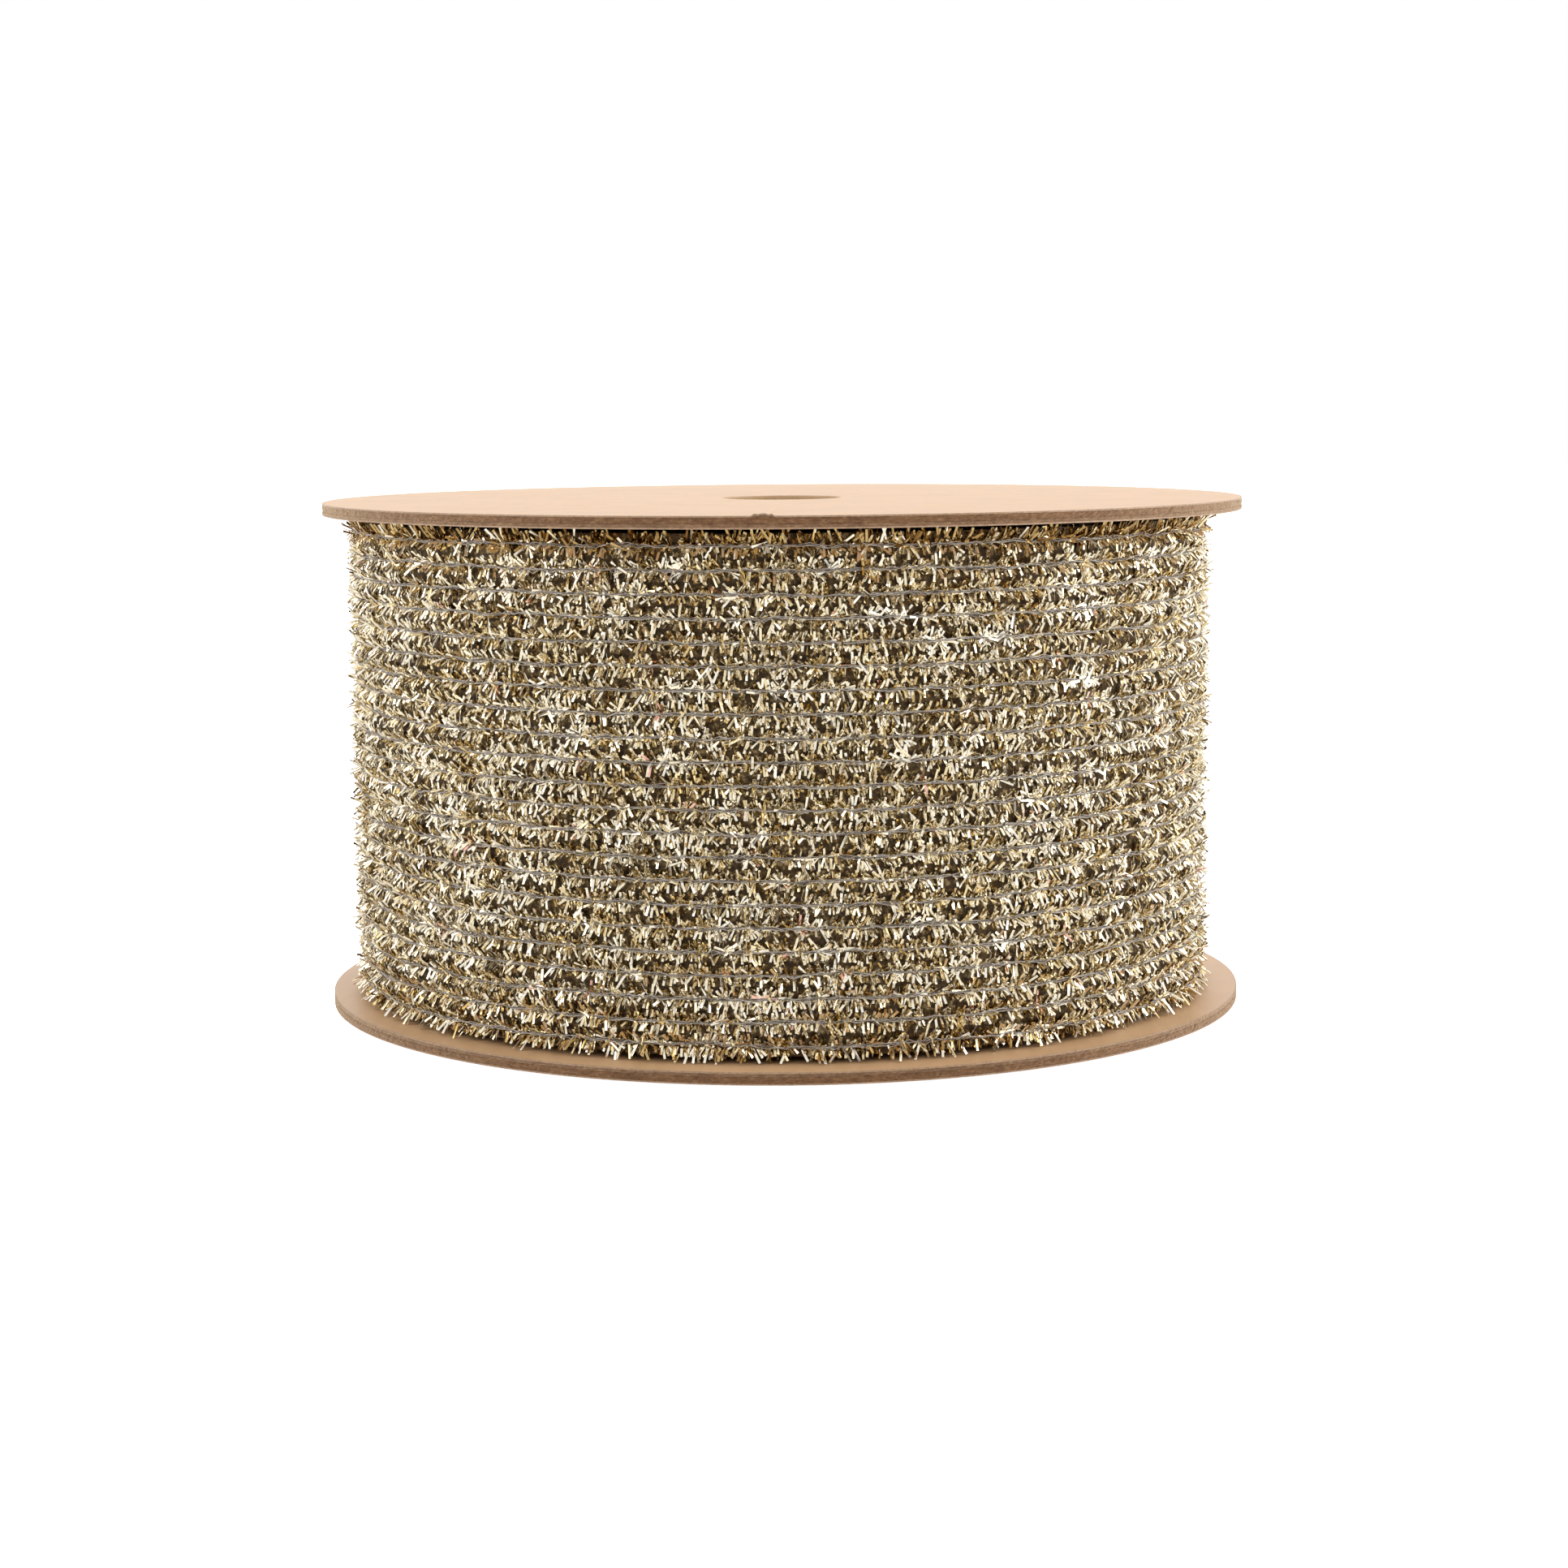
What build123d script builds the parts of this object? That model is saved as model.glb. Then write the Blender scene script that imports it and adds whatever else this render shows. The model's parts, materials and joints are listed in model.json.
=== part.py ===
from build123d import *

import os
from math import cos, degrees, pi, radians, sin

# Ribbon spool: two laminated board flanges glued to a wound paper core. The core carries a roll of
# cut-film tinsel ribbon, 22 corded rows wide, whose outer end peels off the roll.
# Millimetres. +Z runs along the spool's axis, and the origin is the middle of the face it stands on.

os.makedirs("parts", exist_ok=True)

# Flanges: each is two plies of chipboard between two kraft paper liners.
flange_diameter = 125.0
arbor_hole_diameter = 15.875
liner_thickness = 0.2
outer_ply_thickness = 0.8
inner_ply_thickness = 0.4
rim_break = 0.08

# Core: a wound tube with a paper liner inside and a paper wrap outside.
core_diameter = 50.8
core_wrap_thickness = 0.3
core_body_thickness = 1.6
core_liner_thickness = 0.3
glue_thickness = 0.15

# Ribbon
ribbon_width = 63.5
row_count = 22
web_thickness = 0.25
cord_diameter = 0.4
cord_sides = 6
row_corner_share = 0.3
wound_pitch = 1.85
start_tape_thickness = 0.15
start_tape_length = 16.0
start_tape_height = 50.0
tail_length = 70.0
tail_tip_angle = 100.0

# Clearances
side_clearance = 0.75
flange_overhang = 3.5
turn_clearance = 0.35
fit_clearance = 0.05
row_clearance = 0.1
butt_clearance = 0.1
hinge_clearance = 0.4

# The spool's own stack, from the face it stands on to the top.
flange_thickness = 2 * liner_thickness + outer_ply_thickness + inner_ply_thickness
gap_height = ribbon_width + 2 * side_clearance
overall_height = gap_height + 2 * flange_thickness
ribbon_base = flange_thickness + side_clearance

# The roll is a spiral of half circles. Its first turn starts on the tape and its last one ends
# flange_overhang inside the flange's rim, with a whole number of half turns in between.
roll_radius = flange_diameter / 2 - flange_overhang
roll_inner_radius = core_diameter / 2 + start_tape_thickness + fit_clearance
roll_depth = roll_radius - roll_inner_radius + turn_clearance
half_turns = round(2 * (roll_depth / wound_pitch - 1))
pitch = roll_depth / (half_turns / 2 + 1)
strip_thickness = pitch - turn_clearance
spiral_start_radius = roll_inner_radius + strip_thickness / 2 + pitch / 4
spiral_sweep = 180.0 * half_turns
spiral_start_angle = tail_tip_angle + spiral_sweep

tail_radius = roll_radius - strip_thickness / 2
tail_sweep = degrees(tail_length / tail_radius)
peel_at = spiral_sweep - tail_sweep
turn_start = peel_at - 360.0 - 2 * degrees(butt_clearance / tail_radius)
butt_sweep = degrees(butt_clearance / tail_radius)
hinge_sweep = degrees(hinge_clearance / 2 / tail_radius)

# Layers of the ribbon, as offsets from its middle line, outwards.
web_inner = -strip_thickness / 2
web_outer = web_inner + web_thickness
row_inner = web_outer + fit_clearance
cord_outer = strip_thickness / 2
row_outer = cord_outer - cord_diameter - fit_clearance
row_pitch = ribbon_width / row_count


def direction(angle):
    """Unit vector at an angle in the plan, in degrees."""
    return Vector(cos(radians(angle)), sin(radians(angle)))


def half_turn(index):
    """Centre and radius of one half circle of the spiral's middle line."""
    side = -1 if index % 2 == 0 else 1
    centre = direction(spiral_start_angle) * (side * pitch / 4)
    return centre, spiral_start_radius + index * pitch / 2


def spiral_point(sweep, offset, index):
    """Point on the spiral, sweep degrees from its start and offset outwards, on one half turn."""
    centre, radius = half_turn(index)
    return centre + direction(spiral_start_angle - sweep) * (radius + offset)


def spiral_spans(first, last):
    """The pieces of half turns between two sweeps, as (index, from, to)."""
    spans = []
    for index in range(half_turns):
        low = max(first, 180.0 * index)
        high = min(last, 180.0 * (index + 1))
        if high > low:
            spans.append((index, low, high))
    return spans


def spiral_arcs(first, last, offset, backwards=False):
    """Draws the spiral between two sweeps at an offset, inside a BuildLine."""
    spans = spiral_spans(first, last)
    for index, low, high in reversed(spans) if backwards else spans:
        ends = [low, (low + high) / 2, high]
        if backwards:
            ends.reverse()
        ThreePointArc(*[spiral_point(sweep, offset, index) for sweep in ends])


def band(span, inner, outer):
    """A strip of the ribbon's full width between two sweeps and two offsets of the spiral."""
    first, last = span
    near = spiral_spans(first, last)[0][0]
    far = spiral_spans(first, last)[-1][0]
    with BuildPart() as strip:
        with BuildSketch(Plane.XY.offset(ribbon_base)):
            with BuildLine():
                spiral_arcs(first, last, outer)
                Line(spiral_point(last, outer, far), spiral_point(last, inner, far))
                spiral_arcs(first, last, inner, backwards=True)
                Line(spiral_point(first, inner, near), spiral_point(first, outer, near))
            make_face()
        extrude(amount=ribbon_width)
    return strip.part


def section_plane(sweep, offset, height):
    """Plane across the ribbon: X outwards, Z along its length, at a height up the spool."""
    index = spiral_spans(sweep, sweep + 1)[0][0]
    outwards = direction(spiral_start_angle - sweep)
    along = Vector(outwards.Y, -outwards.X)
    start = spiral_point(sweep, offset, index)
    return Plane(origin=(start.X, start.Y, height), x_dir=outwards, z_dir=along)


def row_height(row):
    """Height of a row's middle, counted from the top row down."""
    return ribbon_base + ribbon_width - (row + 0.5) * row_pitch


def write(part, name):
    """Labels a finished sub-part and writes its file."""
    part.label = name
    export_step(part, f"parts/{name}.step")


# Flanges, bottom and top. Each layer is a disc with the arbor hole through it.
flange_layers = [
    ("liner_outer", liner_thickness),
    ("ply_outer", outer_ply_thickness),
    ("ply_inner", inner_ply_thickness),
    ("liner_inner", liner_thickness),
]


def flange_layer(name, level, thickness, open_side):
    """One disc of a flange. An outer liner's rims are softened on its open side."""
    with BuildPart() as disc:
        with BuildSketch(Plane.XY.offset(level)):
            Circle(flange_diameter / 2)
            Circle(arbor_hole_diameter / 2, mode=Mode.SUBTRACT)
        extrude(amount=thickness)
        if name.endswith("liner_outer"):
            open_face = disc.faces().filter_by(Axis.Z).sort_by(Axis.Z)[open_side]
            chamfer(open_face.edges(), rim_break)
    write(disc.part, name)


level = 0.0
for layer, thickness in flange_layers:
    flange_layer(f"bottom_{layer}", level, thickness, 0)
    level += thickness

level = overall_height
for layer, thickness in flange_layers:
    level -= thickness
    flange_layer(f"top_{layer}", level, thickness, -1)

# Core, with a glue ring at each end that holds it to its flange.
core_inner_diameter = core_diameter - 2 * (core_wrap_thickness + core_body_thickness + core_liner_thickness)
core_layers = [
    ("core_wrap", core_wrap_thickness),
    ("core_body", core_body_thickness),
    ("core_liner", core_liner_thickness),
]
outside = core_diameter / 2
for layer, thickness in core_layers:
    with BuildPart() as tube:
        with BuildSketch(Plane.XY.offset(flange_thickness + glue_thickness)):
            Circle(outside)
            Circle(outside - thickness, mode=Mode.SUBTRACT)
        extrude(amount=gap_height - 2 * glue_thickness)
    write(tube.part, layer)
    outside -= thickness

glue_levels = {
    "bottom_glue_ring": flange_thickness,
    "top_glue_ring": flange_thickness + gap_height - glue_thickness,
}
for glue_name, glue_level in glue_levels.items():
    with BuildPart() as ring:
        with BuildSketch(Plane.XY.offset(glue_level)):
            Circle(core_diameter / 2)
            Circle(core_inner_diameter / 2, mode=Mode.SUBTRACT)
        extrude(amount=glue_thickness)
    write(ring.part, glue_name)

# Tape that holds the ribbon's inner end to the core, under the first stretch of the first turn.
tape_sweep = degrees(start_tape_length / (core_diameter / 2))
with BuildPart() as start_tape:
    with BuildSketch(Plane.XY.offset(overall_height / 2 - start_tape_height / 2)):
        with BuildLine():
            tape_outer = core_diameter / 2 + start_tape_thickness
            CenterArc((0, 0), tape_outer, spiral_start_angle - tape_sweep, tape_sweep)
            Line(
                direction(spiral_start_angle) * tape_outer,
                direction(spiral_start_angle) * (core_diameter / 2),
            )
            CenterArc((0, 0), core_diameter / 2, spiral_start_angle, -tape_sweep)
            Line(
                direction(spiral_start_angle - tape_sweep) * (core_diameter / 2),
                direction(spiral_start_angle - tape_sweep) * tape_outer,
            )
        make_face()
    extrude(amount=start_tape_height)
write(start_tape.part, "start_tape")

# Ribbon, inner turns: one closed strip as thick as the squeezed ribbon.
inner_span = (0.0, turn_start - butt_sweep)
write(band(inner_span, -strip_thickness / 2, strip_thickness / 2), "ribbon_inner_turns")

# Ribbon, outer turn and loose end. Each is a thin web of binding threads, a row of tinsel on the
# web for every cord, and the cord on top. The outer turn starts under the loose end and the loose
# end hinges outwards on its own outer face, so its root clears the turn that it leaves.
turn_span = (turn_start, peel_at - hinge_sweep)
tail_span = (peel_at + hinge_sweep, spiral_sweep)


def tinsel_row(span, row):
    """One row of tinsel over a stretch of the spiral, with its corners cut."""
    middle = (row_inner + row_outer) / 2
    depth = row_outer - row_inner
    with BuildPart() as strand:
        with BuildLine():
            spiral_arcs(*span, middle)
        path = strand.pending_edges_as_wire
        lift = Location((0, 0, row_height(row)))
        with BuildSketch(section_plane(span[0], middle, row_height(row))):
            outline = Rectangle(depth, row_pitch - row_clearance)
            chamfer(outline.vertices(), depth * row_corner_share)
        sweep(path=path.moved(lift))
    return strand.part


def cord(span, row):
    """The cord that binds one row, over a stretch of the spiral."""
    middle = cord_outer - cord_diameter / 2
    with BuildPart() as strand:
        with BuildLine():
            spiral_arcs(*span, middle)
        path = strand.pending_edges_as_wire
        lift = Location((0, 0, row_height(row)))
        with BuildSketch(section_plane(span[0], middle, row_height(row))):
            RegularPolygon(cord_diameter / 2, cord_sides)
        sweep(path=path.moved(lift))
    return strand.part


write(band(turn_span, web_inner, web_outer), "outer_turn_web")
for row in range(row_count):
    write(tinsel_row(turn_span, row), f"tinsel_row_{row + 1:02d}")
write(Compound(children=[cord(turn_span, row) for row in range(row_count)]), "outer_turn_cords")

write(band(tail_span, web_inner, web_outer), "loose_end_web")
write(Compound(children=[tinsel_row(tail_span, row) for row in range(row_count)]), "loose_end_rows")
write(Compound(children=[cord(tail_span, row) for row in range(row_count)]), "loose_end_cords")

# The loose end's hinge, on its outer face, and the ribbon's length.
last_turn = spiral_spans(peel_at, peel_at + 1)[0][0]
hinge = spiral_point(peel_at, cord_outer, last_turn)
ribbon_length = sum(pi * half_turn(index)[1] for index in range(half_turns))
print(f"height {overall_height:.3f}  strip {strip_thickness:.4f}")
print(f"turns {half_turns / 2:.1f}  pitch {pitch:.4f}")
print(f"ribbon length {ribbon_length:.0f}  row pitch {row_pitch:.4f}")
print(f"hinge {hinge.X:.4f} {hinge.Y:.4f}  tail sweep {tail_sweep:.2f}")
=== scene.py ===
# %% [markdown]
# # A spool of tinsel ribbon
# Two board flanges are glued to a wound paper core, and the core carries a wide roll of corded
# tinsel ribbon. The CAD model gives every size and place. This lesson loads it as a fixed frame and
# models what the eye sees: board with raw cut edges, thousands of film slivers, and twisted cords.

# %% Load the frame and keep its box
import bpy
import json
import math
import numpy as np
from mathutils import Matrix, Vector


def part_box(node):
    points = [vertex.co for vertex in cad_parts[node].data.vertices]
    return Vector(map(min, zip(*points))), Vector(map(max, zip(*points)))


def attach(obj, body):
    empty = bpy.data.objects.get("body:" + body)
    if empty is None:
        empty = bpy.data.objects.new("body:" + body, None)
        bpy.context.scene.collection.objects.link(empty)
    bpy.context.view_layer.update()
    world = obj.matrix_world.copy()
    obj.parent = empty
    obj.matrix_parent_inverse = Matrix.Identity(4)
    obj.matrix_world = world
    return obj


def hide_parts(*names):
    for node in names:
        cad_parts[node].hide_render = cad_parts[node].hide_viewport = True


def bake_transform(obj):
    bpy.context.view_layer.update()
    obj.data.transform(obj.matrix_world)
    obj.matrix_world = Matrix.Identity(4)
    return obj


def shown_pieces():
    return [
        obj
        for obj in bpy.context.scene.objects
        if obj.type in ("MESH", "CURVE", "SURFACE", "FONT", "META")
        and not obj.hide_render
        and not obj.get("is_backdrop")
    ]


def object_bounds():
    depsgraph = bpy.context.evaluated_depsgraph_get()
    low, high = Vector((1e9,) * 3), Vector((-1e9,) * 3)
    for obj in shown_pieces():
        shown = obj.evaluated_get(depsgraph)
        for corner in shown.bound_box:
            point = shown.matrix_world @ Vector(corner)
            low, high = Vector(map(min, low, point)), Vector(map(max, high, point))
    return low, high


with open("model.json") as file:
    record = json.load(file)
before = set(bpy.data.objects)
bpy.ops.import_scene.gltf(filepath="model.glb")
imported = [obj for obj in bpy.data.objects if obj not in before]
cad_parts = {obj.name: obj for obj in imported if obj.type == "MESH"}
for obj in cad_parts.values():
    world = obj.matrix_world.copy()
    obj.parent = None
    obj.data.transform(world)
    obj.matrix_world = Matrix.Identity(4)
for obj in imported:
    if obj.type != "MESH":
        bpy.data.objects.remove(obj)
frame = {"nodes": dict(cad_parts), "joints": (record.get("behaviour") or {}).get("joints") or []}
cad_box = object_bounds()
MM = 0.001
print("nodes", len(frame["nodes"]), "box", [round(v, 4) for v in cad_box[1]])

# %% [markdown]
# ## Sizes
# What the CAD model knows is read from its boxes and its record: the flange, the hinge of the loose
# end and the height of each row. What only the looks need, such as the size of one film sliver, is
# named here, in metres, so that one number can be changed and the whole ribbon follows.

# %% Sizes read from the frame, and sizes for the looks
flange_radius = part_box("bottom_liner_outer")[1].x
joint = frame["joints"][0]
hinge = Vector(joint["pos_m"])
row_names = sorted(name for name in frame["nodes"] if name.startswith("tinsel_row_"))
row_levels = [sum(corner.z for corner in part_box(name)) / 2 for name in row_names]
row_pitch = row_levels[0] - row_levels[1]
arbor_radius = 7.9375 * MM

turn_pitch = 1.875 * MM
ribbon_depth = 1.5 * MM
tail_tip_angle = 100.0
roll_radius = flange_radius - 3.5 * MM
peel_sweep = math.degrees(math.atan2(hinge.y, hinge.x)) - tail_tip_angle
turn_end_sweep = 360.0 + peel_sweep

sliver_width = 0.31 * MM
sliver_thickness = 0.03 * MM
slivers_per_mm = 6.2
rose_share = 0.004
ribbon_margin = 0.7 * MM
cord_radius = 0.10 * MM
cord_step = 0.36

nick_side = -2.3 * MM
nick_place = Vector((nick_side, -math.sqrt(flange_radius ** 2 - nick_side ** 2), cad_box[1][2]))
nick_width = 1.35 * MM
nick_rise = 0.36 * MM
nick_swell = 0.12 * MM
nick_reach = 1.0 * MM
print("rows", len(row_names), "pitch", round(row_pitch / MM, 3), "peel sweep", round(peel_sweep, 2))

# %% [markdown]
# ## Camera, floor and lights
# A long lens at a little above the roll's middle, looking slightly down, sees the upper flange
# almost edge on. Foil shows whatever stands around it, so a studio lights it with large soft
# sources: a white ceiling and two tall panels at the sides give the bright slivers, and a dark band
# of room at eye level gives the deep tones between them.

# %% Camera
def add_camera(place, tilt_down, roll, lens):
    """A camera that looks along +Y, tilted down and rolled about its own axis, in radians."""
    data = bpy.data.cameras.new("camera")
    data.lens = lens
    data.sensor_width = 36.0
    data.clip_start = 0.01
    camera = bpy.data.objects.new("camera", data)
    bpy.context.scene.collection.objects.link(camera)
    camera.location = place
    camera.rotation_mode = "XYZ"
    look = Vector((0, math.cos(tilt_down), -math.sin(tilt_down)))
    turn = look.to_track_quat("-Z", "Y")
    camera.rotation_euler = (turn.to_matrix().to_4x4() @ roll_matrix(roll)).to_euler()
    bpy.context.scene.camera = camera
    return camera


def roll_matrix(angle):
    """A turn about the camera's own axis."""
    return Matrix.Rotation(angle, 4, "Z")


camera = add_camera((0, -0.4234, 0.0825), 0.1268, -0.0075, 70.5)
bpy.context.scene.view_settings.view_transform = "Standard"
print("camera", [round(v, 4) for v in camera.location], "lens", camera.data.lens)

# %% Floor
def deselect():
    """An operator acts on all that is selected, so everything is deselected first."""
    if bpy.context.mode != "OBJECT":
        bpy.ops.object.mode_set(mode="OBJECT")
    bpy.ops.object.select_all(action="DESELECT")


def new_material(name):
    """An empty node material with its shader and output."""
    material = bpy.data.materials.new(name)
    material.use_nodes = True
    nodes = material.node_tree.nodes
    shader = nodes["Principled BSDF"]
    return material, nodes, material.node_tree.links, shader


deselect()
bpy.ops.mesh.primitive_circle_add(vertices=96, radius=3.0, fill_type="NGON", location=(0, 0, -0.0002))
floor = bpy.context.object
floor.name = "floor"
paper, nodes, links, shader = new_material("studio paper")
shader.inputs["Base Color"].default_value = (0.92, 0.92, 0.92, 1)
shader.inputs["Roughness"].default_value = 0.8
shader.inputs["Specular IOR Level"].default_value = 0.2
shader.inputs["Emission Color"].default_value = (1, 1, 1, 1)
links.new(nodes.new("ShaderNodeLightPath").outputs["Is Camera Ray"], shader.inputs["Emission Strength"])
floor.data.materials.append(paper)
floor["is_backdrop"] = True
print("floor", floor.dimensions[0])


# %% Lights and room
def add_panel(name, place, width, height, power):
    """A soft rectangular light that faces the middle of the spool."""
    data = bpy.data.lights.new(name, "AREA")
    data.shape = "RECTANGLE"
    data.size = width
    data.size_y = height
    data.energy = power
    panel = bpy.data.objects.new(name, data)
    bpy.context.scene.collection.objects.link(panel)
    panel.location = place
    aim = Vector((0, 0, 0.035)) - Vector(place)
    panel.rotation_euler = aim.to_track_quat("-Z", "Y").to_euler()
    return panel


add_panel("left panel", (-0.82, -0.12, 0.30), 0.8, 0.9, 4.1)
add_panel("right panel", (0.82, -0.08, 0.30), 0.8, 0.9, 6.2)
add_panel("back panel", (0.0, 1.2, 0.2), 2.2, 0.5, 8.0)

world = bpy.data.worlds.new("room")
bpy.context.scene.world = world
world.use_nodes = True
nodes = world.node_tree.nodes
links = world.node_tree.links
background = nodes["Background"]
coordinate = nodes.new("ShaderNodeTexCoord")
split = nodes.new("ShaderNodeSeparateXYZ")
room_tone = nodes.new("ShaderNodeValToRGB")
room_tone.color_ramp.elements[0].position = 0.61
room_tone.color_ramp.elements[0].color = (0.095, 0.062, 0.036, 1)
room_tone.color_ramp.elements[1].position = 0.68
room_tone.color_ramp.elements[1].color = (0.96, 0.96, 0.97, 1)
height_share = nodes.new("ShaderNodeMapRange")
height_share.inputs["From Min"].default_value = -1.0
height_share.inputs["From Max"].default_value = 1.0
links.new(coordinate.outputs["Generated"], split.inputs["Vector"])
links.new(split.outputs["Z"], height_share.inputs["Value"])
links.new(height_share.outputs["Result"], room_tone.inputs["Fac"])
backdrop = nodes.new("ShaderNodeMix")
backdrop.data_type = "RGBA"
backdrop.inputs["B"].default_value = (1, 1, 1, 1)
links.new(nodes.new("ShaderNodeLightPath").outputs["Is Camera Ray"], backdrop.inputs["Factor"])
links.new(room_tone.outputs["Color"], backdrop.inputs["A"])
links.new(backdrop.outputs["Result"], background.inputs["Color"])
background.inputs["Strength"].default_value = 1.0


# %% [markdown]
# ## Kraft paper and chipboard
# Kraft liner is smooth, matt and pale tan, with faint long fibres and a little mottling. Chipboard
# is pressed from pulped waste paper, so its cut edge is grey-brown and speckled, with lighter and
# darker fibres that lie flat in the sheet. Noise stretched along the sheet makes both: little
# stretch for the paper's face, and a strong one across the thickness for the edge.

# %% Node helpers
def add_noise(nodes, links, source, scale, detail=3.0, stretch=(1, 1, 1), roughness=0.6):
    """Noise on a coordinate, stretched by a Mapping node. Returns its factor socket."""
    mapping = nodes.new("ShaderNodeMapping")
    mapping.inputs["Scale"].default_value = stretch
    links.new(source, mapping.inputs["Vector"])
    noise = nodes.new("ShaderNodeTexNoise")
    noise.inputs["Scale"].default_value = scale
    noise.inputs["Detail"].default_value = detail
    noise.inputs["Roughness"].default_value = roughness
    links.new(mapping.outputs["Vector"], noise.inputs["Vector"])
    return noise.outputs["Fac"]


def add_ramp(nodes, links, factor, stops):
    """A colour ramp with stops of (position, colour). Returns its colour socket."""
    ramp = nodes.new("ShaderNodeValToRGB")
    elements = ramp.color_ramp.elements
    elements[0].position, elements[0].color = stops[0][0], (*stops[0][1], 1)
    elements[1].position, elements[1].color = stops[-1][0], (*stops[-1][1], 1)
    for position, colour in stops[1:-1]:
        elements.new(position).color = (*colour, 1)
    links.new(factor, ramp.inputs["Fac"])
    return ramp.outputs["Color"]


def mix_colours(nodes, links, factor, one, two, mode="MIX"):
    """Mixes two colour sockets by a factor, which is a socket or a number."""
    mix = nodes.new("ShaderNodeMix")
    mix.data_type = "RGBA"
    mix.blend_type = mode
    if isinstance(factor, float):
        mix.inputs["Factor"].default_value = factor
    else:
        links.new(factor, mix.inputs["Factor"])
    links.new(one, mix.inputs["A"])
    links.new(two, mix.inputs["B"])
    return mix.outputs["Result"]


def add_bump(nodes, links, shader, height, strength, distance):
    """Bump from a height socket, straight into the shader."""
    bump = nodes.new("ShaderNodeBump")
    bump.inputs["Strength"].default_value = strength
    bump.inputs["Distance"].default_value = distance
    links.new(height, bump.inputs["Height"])
    links.new(bump.outputs["Normal"], shader.inputs["Normal"])


def object_coordinates(nodes):
    return nodes.new("ShaderNodeTexCoord").outputs["Object"]


# %% Kraft liner
def ring_mask(nodes, links, place, none, full, most):
    """A mask by distance to the spool's axis: 0 at one radius, and most at the other."""
    flatten = nodes.new("ShaderNodeVectorMath")
    flatten.operation = "MULTIPLY"
    flatten.inputs[1].default_value = (1, 1, 0)
    links.new(place, flatten.inputs[0])
    reach = nodes.new("ShaderNodeVectorMath")
    reach.operation = "LENGTH"
    links.new(flatten.outputs["Vector"], reach.inputs[0])
    mask = nodes.new("ShaderNodeMapRange")
    mask.inputs["From Min"].default_value = none
    mask.inputs["From Max"].default_value = full
    mask.inputs["To Max"].default_value = most
    links.new(reach.outputs["Value"], mask.inputs["Value"])
    return mask.outputs["Result"]


def torn_patch(nodes, links, place, fibre):
    """A mask that is 1 round the nick, where the liner is torn off the board."""
    reach = nodes.new("ShaderNodeVectorMath")
    reach.operation = "DISTANCE"
    reach.inputs[1].default_value = nick_place
    links.new(place, reach.inputs[0])
    ragged = nodes.new("ShaderNodeMath")
    ragged.operation = "MULTIPLY_ADD"
    ragged.inputs[1].default_value = 1.2 * MM
    links.new(fibre, ragged.inputs[0])
    links.new(reach.outputs["Value"], ragged.inputs[2])
    mask = nodes.new("ShaderNodeMapRange")
    mask.inputs["From Min"].default_value = 1.95 * MM
    mask.inputs["From Max"].default_value = 1.75 * MM
    links.new(ragged.outputs["Value"], mask.inputs["Value"])
    return mask.outputs["Result"]


def kraft_liner():
    """Pale tan paper with faint fibres and mottling."""
    material, nodes, links, shader = new_material("kraft liner")
    place = object_coordinates(nodes)
    mottle = add_noise(nodes, links, place, 90, 4)
    fibre = add_noise(nodes, links, place, 700, 5, (1, 0.18, 1))
    speck = add_noise(nodes, links, place, 2600, 2)
    tone = add_ramp(nodes, links, mottle, [(0.3, (0.59, 0.364, 0.186)), (0.7, (0.64, 0.402, 0.218))])
    grain = add_ramp(nodes, links, fibre, [(0.3, (0.90, 0.87, 0.83)), (0.65, (1.0, 1.0, 1.0))])
    dots = add_ramp(nodes, links, speck, [(0.22, (0.72, 0.64, 0.55)), (0.34, (1.0, 1.0, 1.0))])
    colour = mix_colours(nodes, links, 1.0, tone, grain, "MULTIPLY")
    colour = mix_colours(nodes, links, 0.6, colour, dots, "MULTIPLY")
    pulp = add_ramp(nodes, links, speck, [(0.3, (0.20, 0.115, 0.065)), (0.7, (0.44, 0.29, 0.18))])
    edge = ring_mask(nodes, links, place, flange_radius - 0.16 * MM, flange_radius - 0.04 * MM, 0.75)
    colour = mix_colours(nodes, links, edge, colour, pulp)
    colour = mix_colours(nodes, links, torn_patch(nodes, links, place, fibre), colour, pulp)
    links.new(colour, shader.inputs["Base Color"])
    rough = nodes.new("ShaderNodeMapRange")
    rough.inputs["To Min"].default_value = 0.44
    rough.inputs["To Max"].default_value = 0.60
    links.new(fibre, rough.inputs["Value"])
    links.new(rough.outputs["Result"], shader.inputs["Roughness"])
    shader.inputs["Specular IOR Level"].default_value = 0.78
    add_bump(nodes, links, shader, fibre, 0.25, 0.00004)
    return material


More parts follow.
